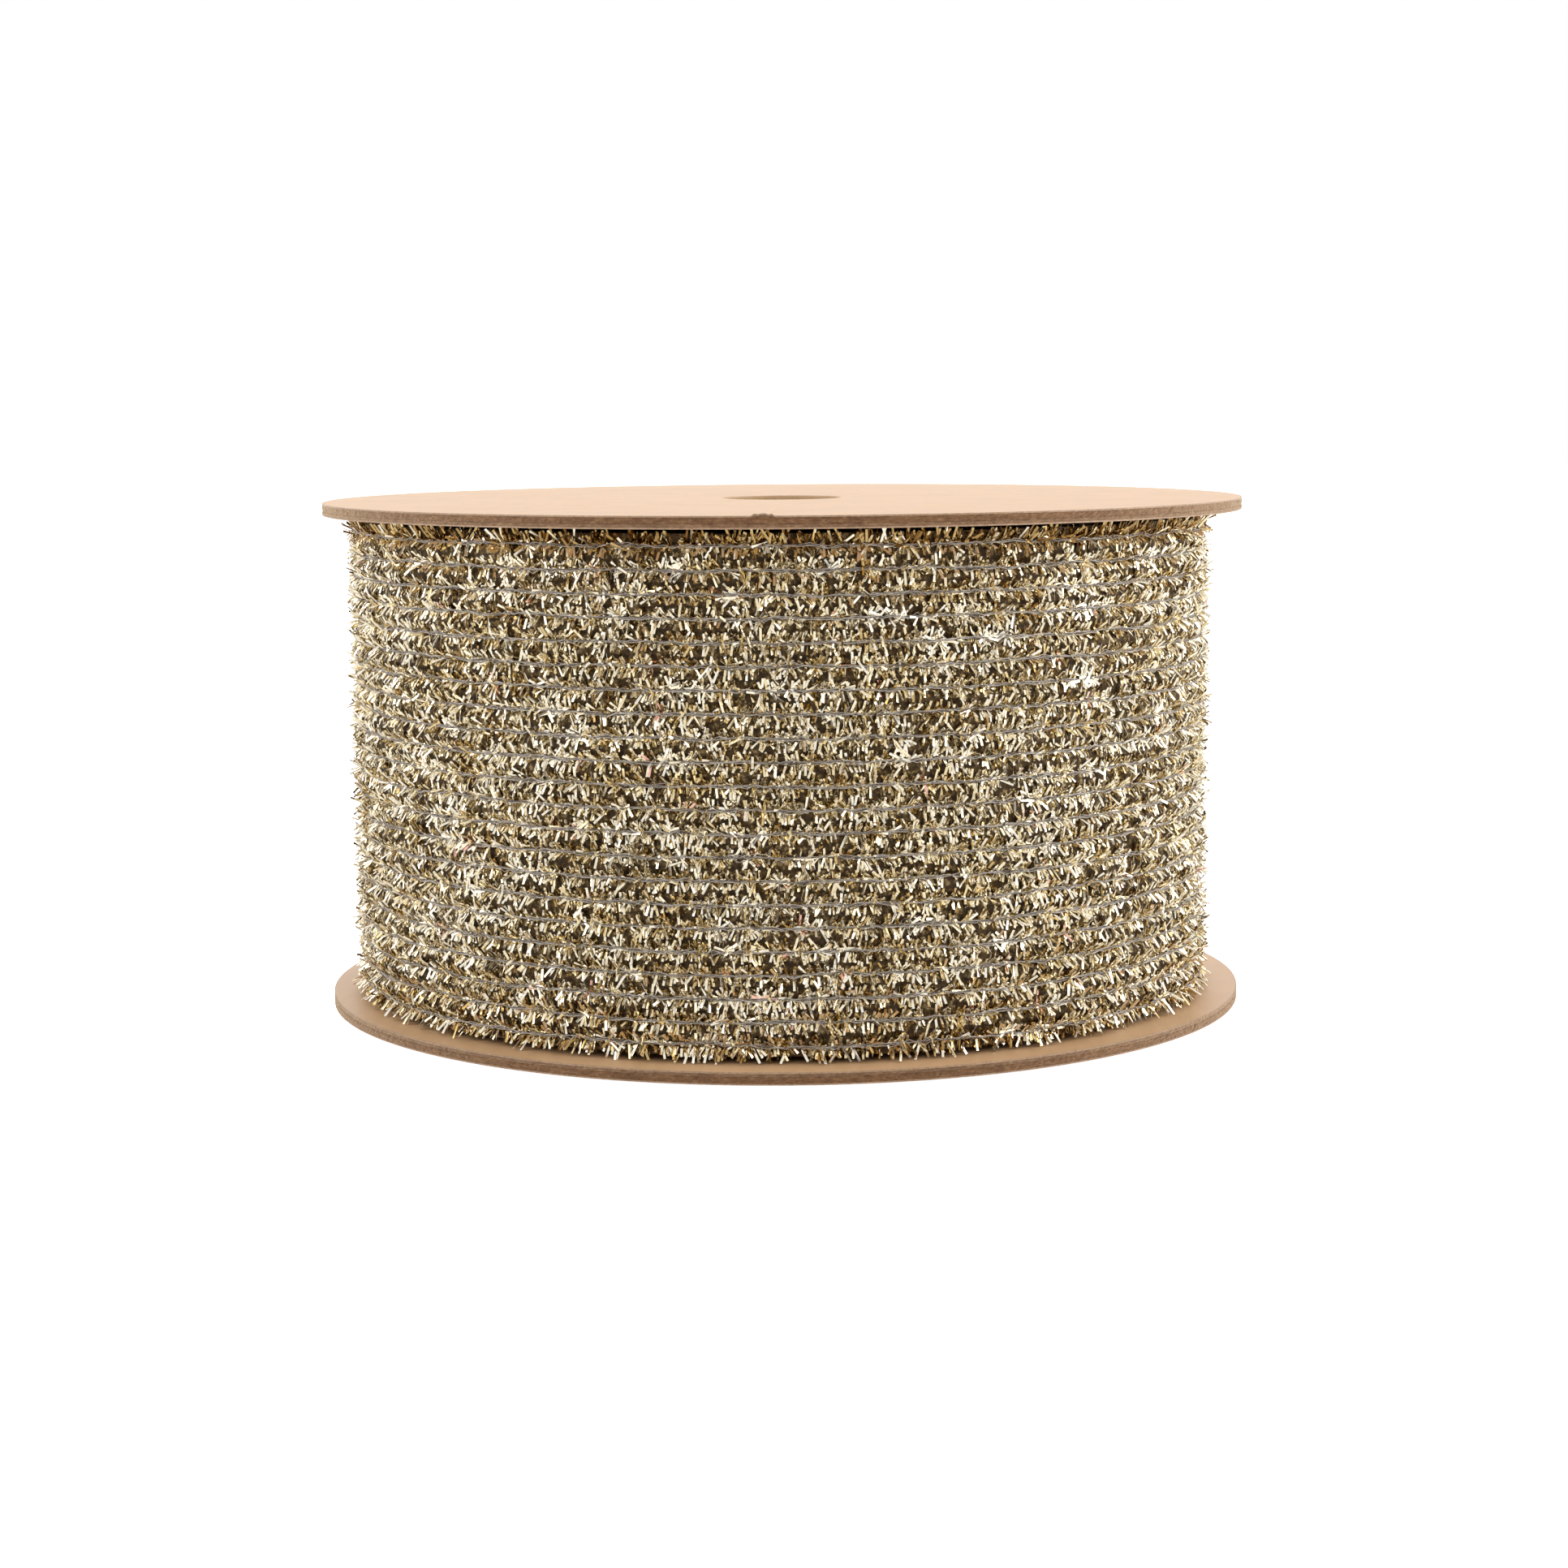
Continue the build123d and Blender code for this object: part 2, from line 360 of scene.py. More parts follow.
# %% Chipboard
def chipboard(name, dark, light, warm):
    """Raw pulp board: speckled, with fibres lying flat in the sheet, and painted light on the wall of the
    arbor hole.
    """
    material, nodes, links, shader = new_material(name)
    place = object_coordinates(nodes)
    layers = add_noise(nodes, links, place, 900, 5, (1, 1, 3.2), 0.75)
    speck = add_noise(nodes, links, place, 3200, 3, (1, 1, 1.8))
    patch = add_noise(nodes, links, place, 130, 2)
    tone = add_ramp(nodes, links, layers, [(0.3, dark), (0.5, warm), (0.72, light)])
    dots = add_ramp(nodes, links, speck, [
        (0.3, (0.55, 0.48, 0.42)),
        (0.5, (0.95, 0.93, 0.9)),
        (0.75, (1, 1, 1)),
    ])
    shade = add_ramp(nodes, links, patch, [(0.3, (0.86, 0.84, 0.82)), (0.7, (1, 1, 1))])
    colour = mix_colours(nodes, links, 0.85, tone, dots, "MULTIPLY")
    colour = mix_colours(nodes, links, 1.0, colour, shade, "MULTIPLY")
    # A paler tan round the arbor hole is painted light falling onto the hole's wall.
    painted_bore_light = add_ramp(nodes, links, speck, [(0.3, (0.50, 0.31, 0.15)), (0.7, (0.66, 0.44, 0.24))])
    bore = ring_mask(nodes, links, place, arbor_radius + 0.5 * MM, arbor_radius + 0.1 * MM, 0.85)
    colour = mix_colours(nodes, links, bore, colour, painted_bore_light)
    links.new(colour, shader.inputs["Base Color"])
    rough = nodes.new("ShaderNodeMapRange")
    rough.inputs["To Min"].default_value = 0.8
    rough.inputs["To Max"].default_value = 0.97
    links.new(speck, rough.inputs["Value"])
    links.new(rough.outputs["Result"], shader.inputs["Roughness"])
    shader.inputs["Specular IOR Level"].default_value = 0.2
    shader.inputs["Sheen Weight"].default_value = 1.0
    shader.inputs["Sheen Roughness"].default_value = 0.5
    shader.inputs["Sheen Tint"].default_value = (1.0, 0.78, 0.55, 1)
    add_bump(nodes, links, shader, layers, 0.7, 0.00012)
    return material


liner_paper = kraft_liner()
outer_board = chipboard("outer chipboard", (0.11, 0.046, 0.017), (0.36, 0.205, 0.10), (0.20, 0.096, 0.041))
inner_board = chipboard("inner chipboard", (0.14, 0.070, 0.032), (0.42, 0.27, 0.155), (0.25, 0.138, 0.072))
print("board materials ready")


# %% [markdown]
# ## Flange discs
# A steel rule cuts each flange out of laminated board, which leaves a furry rim. A plain disc would
# look moulded, so each layer is made from a circle: its edge is extruded inwards to the arbor hole,
# the ring is extruded to its thickness, its walls are bisected, and a Displace modifier roughens
# only the rim. Small vertex moves then add what cutting and handling do: a groove where the two
# plies meet, a crushed edge round the arbor hole, and a knock at the front of the upper flange that
# has lifted and frayed its rim.

# %% One layer of a flange
rim_step = 0.985
rim_start = 0.99
seam_depth = 0.09 * MM
crush_width = 0.24 * MM
crush_depth = 0.55 * MM


def disc_layer(name, node, material, segments, levels, fuzz, seed):
    """A board layer with a rough rim, that replaces the CAD node of the same place."""
    low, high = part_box(node)
    deselect()
    bpy.ops.mesh.primitive_circle_add(vertices=segments, radius=flange_radius, location=(0, 0, low.z))
    disc = bpy.context.object
    disc.name = name
    bpy.ops.object.transform_apply(location=True)
    bpy.ops.object.mode_set(mode="EDIT")
    bpy.ops.mesh.select_all(action="SELECT")
    inward = arbor_radius / flange_radius
    bpy.ops.mesh.extrude_edges_move()
    bpy.ops.transform.resize(value=(rim_step, rim_step, 1), center_override=(0, 0, low.z))
    bpy.ops.mesh.extrude_edges_move()
    bpy.ops.transform.resize(value=(inward / rim_step, inward / rim_step, 1), center_override=(0, 0, low.z))
    bpy.ops.mesh.select_all(action="SELECT")
    bpy.ops.mesh.extrude_region_move(TRANSFORM_OT_translate={"value": (0, 0, high.z - low.z)})
    for level in range(1, levels):
        height = low.z + (high.z - low.z) * level / levels
        bpy.ops.mesh.select_all(action="SELECT")
        bpy.ops.mesh.bisect(plane_co=(0, 0, height), plane_no=(0, 0, 1))
    bpy.ops.mesh.select_all(action="SELECT")
    bpy.ops.mesh.normals_make_consistent(inside=False)
    bpy.ops.object.mode_set(mode="OBJECT")
    rim = disc.vertex_groups.new(name="rim")
    rim.add([v.index for v in disc.data.vertices if v.co.xy.length > flange_radius * 0.999], 1.0, "REPLACE")
    pulp = bpy.data.textures.new(name + " pulp", "CLOUDS")
    pulp.noise_scale = 0.0006
    pulp.noise_depth = 3
    rough = disc.modifiers.new("rough rim", "DISPLACE")
    rough.texture = pulp
    rough.texture_coords = "LOCAL"
    rough.vertex_group = "rim"
    rough.direction = "NORMAL"
    rough.strength = fuzz
    rough.mid_level = 0.62
    bpy.ops.object.modifier_apply(modifier=rough.name)
    rng = np.random.default_rng(seed)
    fibres = rng.normal(0, fuzz * 0.22, len(disc.data.vertices))
    for vertex in disc.data.vertices:
        radius = vertex.co.xy.length
        if radius > flange_radius * rim_start:
            vertex.co.xy *= 1 + fibres[vertex.index] / radius
    if "ply" in node:
        seam = high.z if node in ("bottom_ply_outer", "top_ply_inner") else low.z
        for vertex in disc.data.vertices:
            if vertex.co.xy.length > flange_radius * rim_start and abs(vertex.co.z - seam) < 0.05 * MM:
                vertex.co.xy *= 1 - seam_depth / flange_radius
    bruise(disc, high.z)
    crush_bore(disc, node)
    disc.data.materials.append(material)
    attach(disc, "spool")
    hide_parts(node)
    return disc


def bruise(disc, top):
    """Lifts and frays the rim at the nick, on the layers near the upper face."""
    for vertex in disc.data.vertices:
        away = (vertex.co.xy - nick_place.xy).length / nick_width
        if away < 1 and top > nick_place.z - 1.1 * MM and vertex.co.xy.length > flange_radius * 0.98:
            fray = 0.72 + 0.28 * math.sin(vertex.co.x * 9000)
            fall = nick_place.z - vertex.co.z
            share = max(0.0, 1 - fall / nick_reach) * math.sqrt(1 - away * away)
            vertex.co.xy *= 1 + nick_swell * fray * share / flange_radius
            vertex.co.z += nick_rise * fray * share


def crush_bore(disc, node):
    """Opens the arbor hole a little towards the flange's outer face."""
    outer_face = cad_box[0][2] if node.startswith("bottom") else cad_box[1][2]
    for vertex in disc.data.vertices:
        if vertex.co.xy.length < arbor_radius * 1.01:
            fall = abs(vertex.co.z - outer_face)
            vertex.co.xy *= 1 + crush_width * max(0.0, 1 - fall / crush_depth) / arbor_radius


# %% The eight layers
layer_looks = {
    "liner_outer": (liner_paper, 1, 0.03 * MM),
    "ply_outer": (outer_board, 4, 0.11 * MM),
    "ply_inner": (inner_board, 2, 0.10 * MM),
    "liner_inner": (liner_paper, 1, 0.03 * MM),
}
for side in ("bottom", "top"):
    for number, (layer, (material, levels, fuzz)) in enumerate(layer_looks.items()):
        node = f"{side}_{layer}"
        disc = disc_layer(f"{side}_flange_{layer}", node, material, 960, levels, fuzz, 11 + number)
        print(disc.name, len(disc.data.polygons), "faces")


# %% [markdown]
# ## The ribbon's path
# The ribbon winds clockwise outwards, so its surface is a spiral. Sweep counts degrees back from
# the cut end of the ribbon, and the surface sinks by one turn's pitch in every full sweep. Every
# part of the ribbon, from backing to cord, is placed with the one function below, so the outer
# turn and the loose end meet without a step.

# %% Path functions
def path_point(sweep, depth, level):
    """Points on the ribbon: sweep in degrees back from its end, depth inwards from its face."""
    sweep, depth, level = np.broadcast_arrays(sweep, depth, level)
    angle = np.radians(tail_tip_angle + sweep)
    radius = roll_radius - turn_pitch * sweep / 360.0 - depth
    return np.stack([radius * np.cos(angle), radius * np.sin(angle), level], axis=-1)


def path_axes(sweep):
    """Unit vectors outwards and along the ribbon, towards larger sweep."""
    angle = np.radians(tail_tip_angle + np.asarray(sweep, float))
    zero = np.zeros_like(angle)
    outwards = np.stack([np.cos(angle), np.sin(angle), zero], axis=-1)
    along = np.stack([-np.sin(angle), np.cos(angle), zero], axis=-1)
    return outwards, along


def smooth_random(rng, places, step):
    """Smooth noise along a line: random values every step, joined by eased curves."""
    places = np.asarray(places, float) / step
    low = math.floor(places.min()) - 1
    values = rng.normal(0, 1, int(places.max()) - low + 4)
    index = np.floor(places).astype(int)
    share = places - index
    share = share * share * (3 - 2 * share)
    return values[index - low] * (1 - share) + values[index - low + 1] * share


def mesh_from_arrays(name, points, faces, smooth=False):
    """An object whose mesh holds these points and equal-sided faces."""
    mesh = bpy.data.meshes.new(name)
    sides = faces.shape[1]
    mesh.vertices.add(len(points))
    mesh.vertices.foreach_set("co", np.asarray(points, np.float32).ravel())
    mesh.loops.add(faces.size)
    mesh.loops.foreach_set("vertex_index", faces.astype(np.int32).ravel())
    mesh.polygons.add(len(faces))
    mesh.polygons.foreach_set("loop_start", np.arange(0, faces.size, sides, dtype=np.int32))
    mesh.polygons.foreach_set("use_smooth", np.full(len(faces), smooth))
    mesh.update()
    mesh.validate()
    piece = bpy.data.objects.new(name, mesh)
    bpy.context.scene.collection.objects.link(piece)
    return piece


degrees_per_metre = math.degrees(1 / roll_radius)
print("sweep of the outer turn and the loose end", round(turn_end_sweep, 1))


# %% [markdown]
# ## One sliver of film
# The tinsel is metallised film, slit into strips about a third of a millimetre wide and chopped
# short. One is enough to model: a cube, cut across its middle by a bisect, so that it can fold
# under the cord that holds it. It has ten faces, because tens of thousands of copies follow.

# %% Model the sliver
deselect()
bpy.ops.mesh.primitive_cube_add(size=2)
sliver = bpy.context.object
bpy.ops.object.mode_set(mode="EDIT")
bpy.ops.mesh.select_all(action="SELECT")
bpy.ops.mesh.bisect(plane_co=(0, 0, 0), plane_no=(1, 0, 0))
bpy.ops.object.mode_set(mode="OBJECT")
sliver_points = np.array([v.co for v in sliver.data.vertices])
sliver_faces = np.array([list(p.vertices) for p in sliver.data.polygons])
sliver_halves = np.array([p.center.x > 0 for p in sliver.data.polygons])
bpy.data.objects.remove(sliver)
print("sliver", len(sliver_points), "points", len(sliver_faces), "faces")


# %% [markdown]
# ## Metallised film
# The film is aluminium under a champagne lacquer. A metal has no colour of its own but tints what
# it mirrors, and between crowded slivers light is tinted again at each bounce, which gives part of
# the deep browns. Each sliver carries one random number, film_shade, that picks its lacquer from a
# ramp: most are pale champagne, some yellow, some almost silver, and a few are rose. The ramp's
# brown lower end is painted: painted shade for slivers deep in the pile, and a painted reflection
# of the kraft board for ends next to a flange.

# %% Film material
def film():
    """Foil whose lacquer varies from sliver to sliver, with painted shade and a painted reflection at the
    ramp's brown end.
    """
    material, nodes, links, shader = new_material("champagne film")
    shade = nodes.new("ShaderNodeAttribute")
    shade.attribute_name = "film_shade"
    # The two lowest stops are painted: painted shade for slivers deep in the pile, and a painted reflection
    # of the kraft board for ends next to a flange.
    colour = add_ramp(nodes, links, shade.outputs["Fac"], [
        (0.0, (0.33, 0.19, 0.06)),
        (0.14, (0.55, 0.375, 0.15)),
        (0.32, (0.86, 0.70, 0.39)),
        (0.58, (0.96, 0.85, 0.61)),
        (0.93, (0.98, 0.92, 0.78)),
        (0.985, (0.95, 0.55, 0.45)),
    ])
    wear = add_noise(nodes, links, object_coordinates(nodes), 2500, 2)
    dull = add_ramp(nodes, links, wear, [(0.35, (0.86, 0.84, 0.80)), (0.6, (1, 1, 1))])
    colour = mix_colours(nodes, links, 1.0, colour, dull, "MULTIPLY")
    links.new(colour, shader.inputs["Base Color"])
    rough = nodes.new("ShaderNodeMapRange")
    rough.inputs["To Min"].default_value = 0.08
    rough.inputs["To Max"].default_value = 0.20
    links.new(wear, rough.inputs["Value"])
    links.new(rough.outputs["Result"], shader.inputs["Roughness"])
    shader.inputs["Metallic"].default_value = 1.0
    add_bump(nodes, links, shader, wear, 0.1, 0.00003)
    return material


film_material = film()
print("film ready")


# %% [markdown]
# ## Rows of tinsel
# Each row is a crowd of slivers caught at their middles under one cord. Their two ends lift off the
# backing and point up and down, give or take some 30 degrees, and each is twisted its own way, so
# some show a bright flat face and others only an edge. There are three kinds. Most are deep in the
# pile and short, and their lacquer is drawn browner as painted shade of the pile's depth. About a
# third stand proud of it, longer and flatter, and their lacquer is drawn paler as painted light on
# the top of the pile. A few lie more along the row, where a tuft was caught badly. Next to a flange
# many ends are painted warm brown, a painted reflection of the kraft board, and the outermost ones
# reach nearly to the board. All of this is drawn from seeded random numbers, one seed for each row.

# %% What tells the three kinds apart, each time for deep, proud and lying slivers
lying_share = 0.05
lying_in_tufts = 0.6
proud_share = 0.38
sunk_mm = ((0.0, 0.22), (-0.35, -0.1), (-0.5, -0.2))
lean_degrees = (36, 26, 75)
reach_mm = ((0.9, 1.5), (1.2, 2.0), (1.0, 1.8))
spin_degrees = (46, 24, 20)
# The shade shapes draw deep slivers browner and proud ones paler: painted shade and painted light of the
# pile's depth.
painted_depth_shade_shapes = ((1.7, 2.9), (4.5, 1.7), (4.0, 2.0))
pile_depth = 0.85 * MM
row_scatter = 0.24 * MM
palest = 0.92
# Ends next to a flange take a shade below this: a painted reflection of the kraft board.
kraft_reflection_limit = 0.16
print("proud slivers", proud_share, "reach", reach_mm[1], "mm")


# %% Scatter copies of the sliver along a row
def unit(vectors):
    return vectors / np.linalg.norm(vectors, axis=-1, keepdims=True)


def sliver_crowd(
    rng, first, last, level, per_mm, lift, depth=pile_depth, face=1.0, painted_reflection=0.0, tall=1.0, hang=1.0
):
    """Points and face shades of the slivers of one row between two sweeps.

    lift is the usual angle off the backing in degrees, and face is -1 on the ribbon's inner side.
    The share of ends next to a flange that are painted warm brown, a painted reflection of the kraft
    board, is given above 0 for ends that point up and below 0 for ends that point down. tall and hang
    stretch the ends that point up and down."""
    length = (last - first) / degrees_per_metre / MM
    count = int(length * per_mm)
    sweep = rng.uniform(first, last, count)
    tuft = smooth_random(rng, sweep, 3.2) + 0.35 * smooth_random(rng, sweep, 0.9)
    lying = (rng.random(count) < lying_share) | ((tuft > 1.1) & (rng.random(count) < lying_in_tufts))
    proud = rng.random(count) < proud_share

    def drawn(deep_values, proud_values, lying_values):
        return np.where(lying, lying_values, np.where(proud, proud_values, deep_values))

    def spread(widths):
        return drawn(*(rng.normal(0, width, count) for width in widths))

    def between(limits):
        return drawn(*(rng.uniform(low, high, count) for low, high in limits))

    outwards, along = path_axes(sweep)
    outwards = outwards * face
    up = np.array([0.0, 0.0, 1.0])
    middle = path_point(sweep, depth + between(sunk_mm) * MM * face, level)
    middle = middle + up * rng.normal(0, row_scatter, count)[:, None]
    stations = []
    for end in (1, -1):
        lean = spread(lean_degrees)
        rise = drawn(rng.normal(0.75, 0.5, count), rng.normal(1.35, 0.65, count), rng.uniform(0, 0.6, count))
        reach = between(reach_mm) * MM * (tall if end > 0 else hang)
        lean = np.radians(lean)[:, None]
        rise = np.radians(rise * lift)[:, None]
        flat = np.cos(lean) * up * end + np.sin(lean) * along
        aim = flat * np.cos(rise) + outwards * np.sin(rise)
        stations.append((middle + aim * reach[:, None], aim * end))
    (tip_up, aim_up), (tip_down, aim_down) = stations
    centres = np.stack([tip_down, middle, tip_up], axis=1)
    aims = np.stack([aim_down, unit(aim_up + aim_down + 1e-9), aim_up], axis=1)
    spin = spread(spin_degrees)[:, None] + rng.normal(0, 6, (count, 3))
    side = unit(np.cross(aims, outwards[:, None, :]))
    other = np.cross(side, aims)
    turn = np.radians(spin)[..., None]
    width = side * np.cos(turn) + other * np.sin(turn)
    thick = np.cross(aims, width)
    station = (sliver_points[:, 0].round() + 1).astype(int)
    points = (
        centres[:, station]
        + width[:, station] * (sliver_points[:, 1] * sliver_width / 2)[None, :, None]
        + thick[:, station] * (sliver_points[:, 2] * sliver_thickness / 2)[None, :, None]
    )
    # Deep slivers are drawn browner and proud ones paler: painted shade and painted light.
    shade = drawn(*(rng.beta(low, high, count) for low, high in painted_depth_shade_shapes))
    shade = np.clip(shade + 0.1 * np.clip(tuft, -1, 1), 0.0, palest)
    shade = np.where(rng.random(count) < rose_share, 1.0, shade)
    # Ends next to a flange are painted warm brown: a painted reflection of the kraft board.
    warm = np.where(rng.random(count) < abs(painted_reflection), rng.uniform(0.0, kraft_reflection_limit, count), shade)
    half = sliver_halves if painted_reflection > 0 else ~sliver_halves
    return points.reshape(-1, 3), np.where(half[None], warm[:, None], shade[:, None])


def crowd_object(name, crowds):
    """One mesh of many slivers, each with its shade."""
    points = np.concatenate([crowd[0] for crowd in crowds])
    shade = np.concatenate([crowd[1] for crowd in crowds])
    starts = np.arange(len(shade)) * len(sliver_points)
    faces = (starts[:, None, None] + sliver_faces[None]).reshape(-1, 4)
    ceiling = row_levels[0] + row_pitch / 2 + ribbon_margin
    ground = row_levels[-1] - row_pitch / 2 - ribbon_margin
    points[:, 2] = np.clip(points[:, 2], ground, ceiling)
    piece = mesh_from_arrays(name, points, faces)
    attribute = piece.data.attributes.new("film_shade", "FLOAT", "FACE")
    attribute.data.foreach_set("value", shade.ravel().astype(np.float32))
    piece.data.materials.append(film_material)
    return piece


# %% The 22 rows of the outer turn
# Ends next to a flange are painted warm brown in these rows: a painted reflection of the kraft board.
rim_rows = {0: {"painted_reflection": 0.75, "tall": 1.35}, 20: {"painted_reflection": -0.1}, 21: {"painted_reflection": -0.2, "hang": 1.25}}
lifted = 27.0
squeezed = 6.0
triangles = 0
for number, (node, level) in enumerate(zip(row_names, row_levels)):
    rng = np.random.default_rng(100 + number)
    rim = rim_rows.get(number, {})
    shown = sliver_crowd(rng, peel_sweep, 360.0, level, slivers_per_mm, lifted, **rim)
    covered = sliver_crowd(rng, 360.0, turn_end_sweep, level, slivers_per_mm * 0.45, squeezed)
    row = crowd_object("tinsel_" + node[-2:], [shown, covered])
    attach(row, "spool")
    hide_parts(node)
    triangles += 2 * len(row.data.polygons)
print("outer turn's tinsel", triangles, "triangles")


# %% [markdown]
# ## Twisted cords
# Each row is bound by a yarn of two plies twisted together, with three finer clear threads that run
# loosely about it. The route is a line along the row that wanders a little, because the pile under
# it is uneven. Each ply is a thin tube that spirals about that line, and each thread is a thinner
# tube that strays up, down and off it.

# %% Sizes of the cords
cord_wander = 0.11 * MM
twist_length = 1.25 * MM
thread_radius = 0.045 * MM
thread_stray = 0.19 * MM
print("cord radius", cord_radius, "threads", thread_radius)


# %% Tubes along a line
def tube(line, radius, sides, spin):
    """Closed tubes of quads round a line of points: returns points and faces."""
    ahead = unit(np.gradient(line, axis=0))
    up = np.array([0.0, 0.0, 1.0])
    side = unit(np.cross(ahead, up))
    over = np.cross(side, ahead)
    turn = np.linspace(0, 2 * math.pi, sides, endpoint=False) + spin
    ring = side[:, None] * np.cos(turn)[None, :, None] + over[:, None] * np.sin(turn)[None, :, None]
    points = (line[:, None] + ring * radius).reshape(-1, 3)
    ring_start = np.arange(len(line) - 1)[:, None] * sides
    here = np.arange(sides)[None]
    after = (here + 1) % sides
    faces = np.stack(
        [ring_start + here, ring_start + after, ring_start + sides + after, ring_start + sides + here],
        axis=-1,
    ).reshape(-1, 4)
    last = (len(line) - 1) * sides
    caps = [[0, sides - 1, sides - 2, sides - 3][:4], [last, last + 1, last + 2, last + 3][:4]]
    return points, np.concatenate([faces, np.array(caps)])


def cord_line(seed, sweep, level, wander):
    """The route of one row's cord: it wanders up, down, in and out."""
    rng = np.random.default_rng(seed)
    slow = smooth_random(rng, sweep, 5.5)
    quick = smooth_random(rng, sweep, 1.7)
    depth = 0.26 * MM + 0.14 * MM * smooth_random(rng, sweep, 2.4)
    return path_point(sweep, depth, level + wander * (0.75 * slow + 0.4 * quick))


def cord_parts(seed, first, last, level):
    """Points and faces of a cord's two plies and its three loose threads."""
    every = peel_sweep + cord_step * np.arange(-220, 1020)
    shown = (every > first - cord_step / 2) & (every < last + cord_step / 2)
    sweep = every[shown]
    route = cord_line(seed, every, level, cord_wander)[shown]
    outwards, _ = path_axes(sweep)
    up = np.array([0.0, 0.0, 1.0])
    parts = []
    turn = sweep / degrees_per_metre / twist_length * 2 * math.pi
    for phase in (0.0, math.pi):
        helix = outwards * np.cos(turn + phase)[:, None] + up * np.sin(turn + phase)[:, None]
        parts.append((*tube(route + helix * cord_radius * 0.85, cord_radius * 0.8, 4, 0.4), 0))
    rng = np.random.default_rng(seed + 500)
    for side in (1, -1, 0.3):
        loose = smooth_random(rng, every, 0.9)[shown] * thread_stray
        loop = np.sin(turn * rng.uniform(0.35, 0.6)) * side
        rise = loose + 0.12 * MM * loop
        proud = 0.07 * MM * (1.4 + loop) + 0.06 * MM * smooth_random(rng, every, 1.3)[shown]
        thread = route + up * rise[:, None] + outwards * proud[:, None]
        parts.append((*tube(thread[::3], thread_radius, 4, 0.0), 1))
    return parts


def joined(name, parts, materials):
    """One object from several (points, faces, material number) parts."""
    points, faces, numbers, start = [], [], [], 0
    for part_points, part_faces, number in parts:
        points.append(part_points)
        faces.append(part_faces + start)
        numbers.append(np.full(len(part_faces), number, np.int32))
        start += len(part_points)
    piece = mesh_from_arrays(name, np.concatenate(points), np.concatenate(faces), smooth=True)
    for material in materials:
        piece.data.materials.append(material)
    piece.data.polygons.foreach_set("material_index", np.concatenate(numbers))
    return piece


# %% Yarn and thread materials
def yarn():
    """Dull grey spun yarn, with lighter fibres."""
    material, nodes, links, shader = new_material("grey yarn")
    place = object_coordinates(nodes)
    fuzz = add_noise(nodes, links, place, 5200, 3)
    drift = add_noise(nodes, links, place, 160, 2)
    tone = add_ramp(nodes, links, fuzz, [
        (0.3, (0.08, 0.060, 0.042)),
        (0.55, (0.18, 0.142, 0.105)),
        (0.75, (0.42, 0.36, 0.295)),
    ])
    shade = add_ramp(nodes, links, drift, [(0.35, (0.75, 0.73, 0.72)), (0.65, (1.1, 1.07, 1.03))])
    colour = mix_colours(nodes, links, 1.0, tone, shade, "MULTIPLY")
    links.new(colour, shader.inputs["Base Color"])
    rough = nodes.new("ShaderNodeMapRange")
    rough.inputs["To Min"].default_value = 0.5
    rough.inputs["To Max"].default_value = 0.75
    links.new(fuzz, rough.inputs["Value"])
    links.new(rough.outputs["Result"], shader.inputs["Roughness"])
    shader.inputs["Specular IOR Level"].default_value = 0.5
    shader.inputs["Sheen Weight"].default_value = 0.35
    shader.inputs["Sheen Roughness"].default_value = 0.45
    add_bump(nodes, links, shader, fuzz, 0.5, 0.00005)
    return material


def clear_thread():
    """Fine translucent thread, which reads as a light grey line."""
    material, nodes, links, shader = new_material("clear thread")
    cloud = add_noise(nodes, links, object_coordinates(nodes), 900, 2)
    tone = add_ramp(nodes, links, cloud, [(0.3, (0.36, 0.31, 0.26)), (0.7, (0.66, 0.60, 0.53))])
    links.new(tone, shader.inputs["Base Color"])
    shader.inputs["Roughness"].default_value = 0.25
    shader.inputs["Specular IOR Level"].default_value = 0.9
    add_bump(nodes, links, shader, cloud, 0.2, 0.00002)
    return material


cord_materials = [yarn(), clear_thread()]
triangles = 0
for number, level in enumerate(row_levels):
    parts = cord_parts(900 + number, peel_sweep, turn_end_sweep, level)
    cord = joined(f"binding_cord_{number + 1:02d}", parts, cord_materials)
    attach(cord, "spool")
    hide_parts("outer_turn_cords")
    triangles += 2 * len(cord.data.polygons)
print("cords", triangles, "triangles")


# %% [markdown]
# ## Backing
# Behind the slivers a fine net of knitted threads holds the rows together. It is a thin sheet as
# wide as the ribbon. Seen through the pile it only has to be dark, warm and a little shiny.

